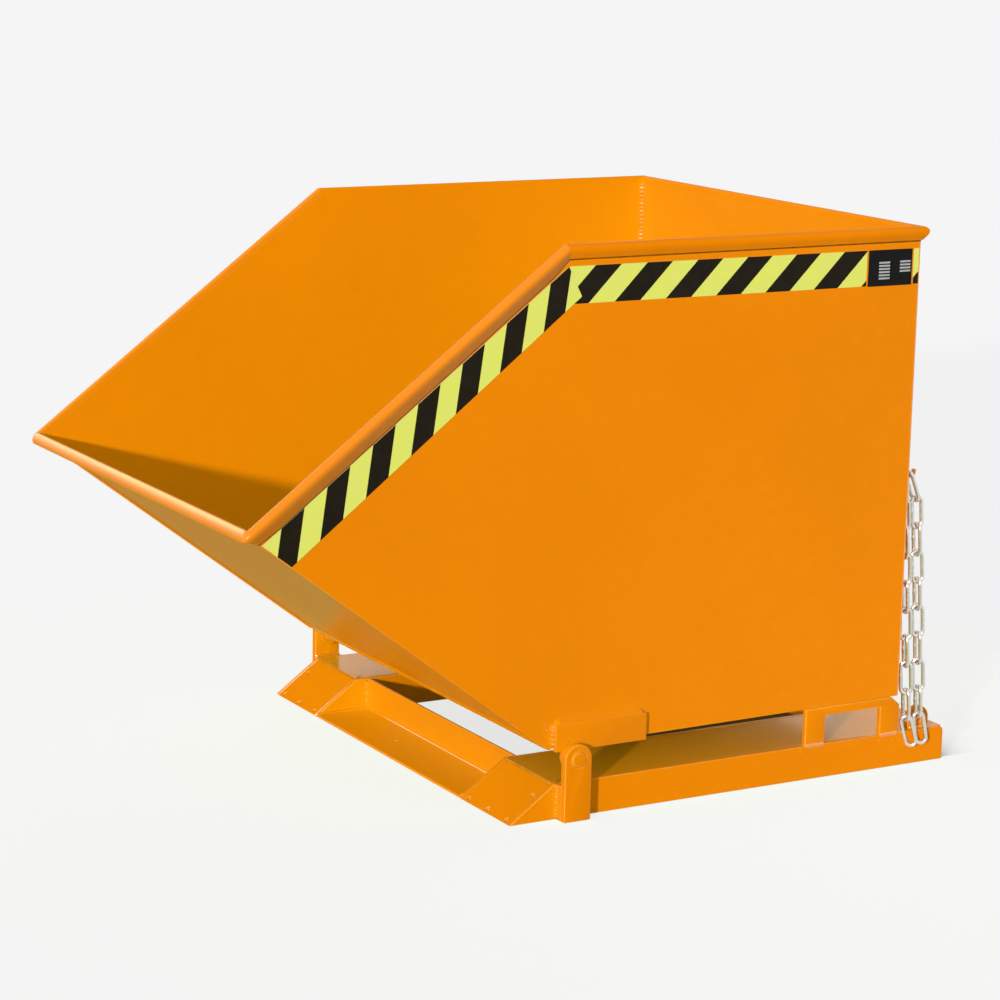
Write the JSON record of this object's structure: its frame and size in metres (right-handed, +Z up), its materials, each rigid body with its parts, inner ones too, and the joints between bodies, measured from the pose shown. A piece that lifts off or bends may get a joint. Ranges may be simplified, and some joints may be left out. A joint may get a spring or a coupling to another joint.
{
  "type": "tipping hopper",
  "caption": "Open steel hopper with a sloping front and rolled rim, pivoting on front pins over a base with fork pockets, rear seats and a hanging safety chain.",
  "frame": {"origin": "on the ground, in the middle of the overall length and width", "axes": "+Z up, +X to the rear where the forks go in, the pouring lip at -X, -Y the side with the chain"},
  "size_m": [1.3526, 0.938, 0.943],
  "materials": {
    "orange_paint": "gloss",
    "zinc_chain": "galvanised",
    "marking_tape": "satin",
    "rating_plate": "black anodised"
  },
  "bodies": {
    "base": {"chain_eye_left": "orange_paint", "chain_eye_right": "orange_paint", "front_cross_plate": "orange_paint", "front_floor_plate": "orange_paint", "hinge_post_left": "orange_paint", "hinge_post_right": "orange_paint", "hinge_washer_left": "orange_paint", "hinge_washer_right": "orange_paint", "inner_rail_left": "orange_paint", "inner_rail_right": "orange_paint", "outer_rail_left": "orange_paint", "outer_rail_right": "orange_paint", "pivot_pin_left": "orange_paint", "pivot_pin_right": "orange_paint", "pocket_deck_left": "orange_paint", "pocket_deck_right": "orange_paint", "pocket_straps_left": "orange_paint", "pocket_straps_right": "orange_paint", "post_spacer_left": "orange_paint", "post_spacer_right": "orange_paint", "ramp_left": "orange_paint", "ramp_right": "orange_paint", "rear_cross_plate": "orange_paint", "rear_seat_left": "orange_paint", "rear_seat_right": "orange_paint"},
    "hopper": {"chain_hook": "orange_paint", "hinge_plate_left": "orange_paint", "hinge_plate_right": "orange_paint", "hopper_floor": "orange_paint", "hopper_front_plate": "orange_paint", "hopper_rear_wall": "orange_paint", "hopper_side_left": "orange_paint", "hopper_side_right": "orange_paint", "rating_plate": "rating_plate", "rim_lip": "orange_paint", "rim_rear": "orange_paint", "rim_slope_left": "orange_paint", "rim_slope_right": "orange_paint", "rim_top_left": "orange_paint", "rim_top_right": "orange_paint", "tape_slope_left": "marking_tape", "tape_slope_right": "marking_tape", "tape_top_left": "marking_tape", "tape_top_right": "marking_tape"},
    "chain": {"safety_chain": "zinc_chain"}
  },
  "joints": [
    {"name": "hopper_tip", "type": "hinge", "parent": "base", "child": "hopper", "pos_m": [-0.09002, 0, 0.105], "axis": [0, -1, 0], "range_deg": [0, 74]},
    {"name": "chain_swing", "type": "hinge", "parent": "hopper", "child": "chain", "pos_m": [0.6185, -0.402, 0.508], "axis": [-1, 0, 0], "range_deg": [0, 70]}
  ]
}
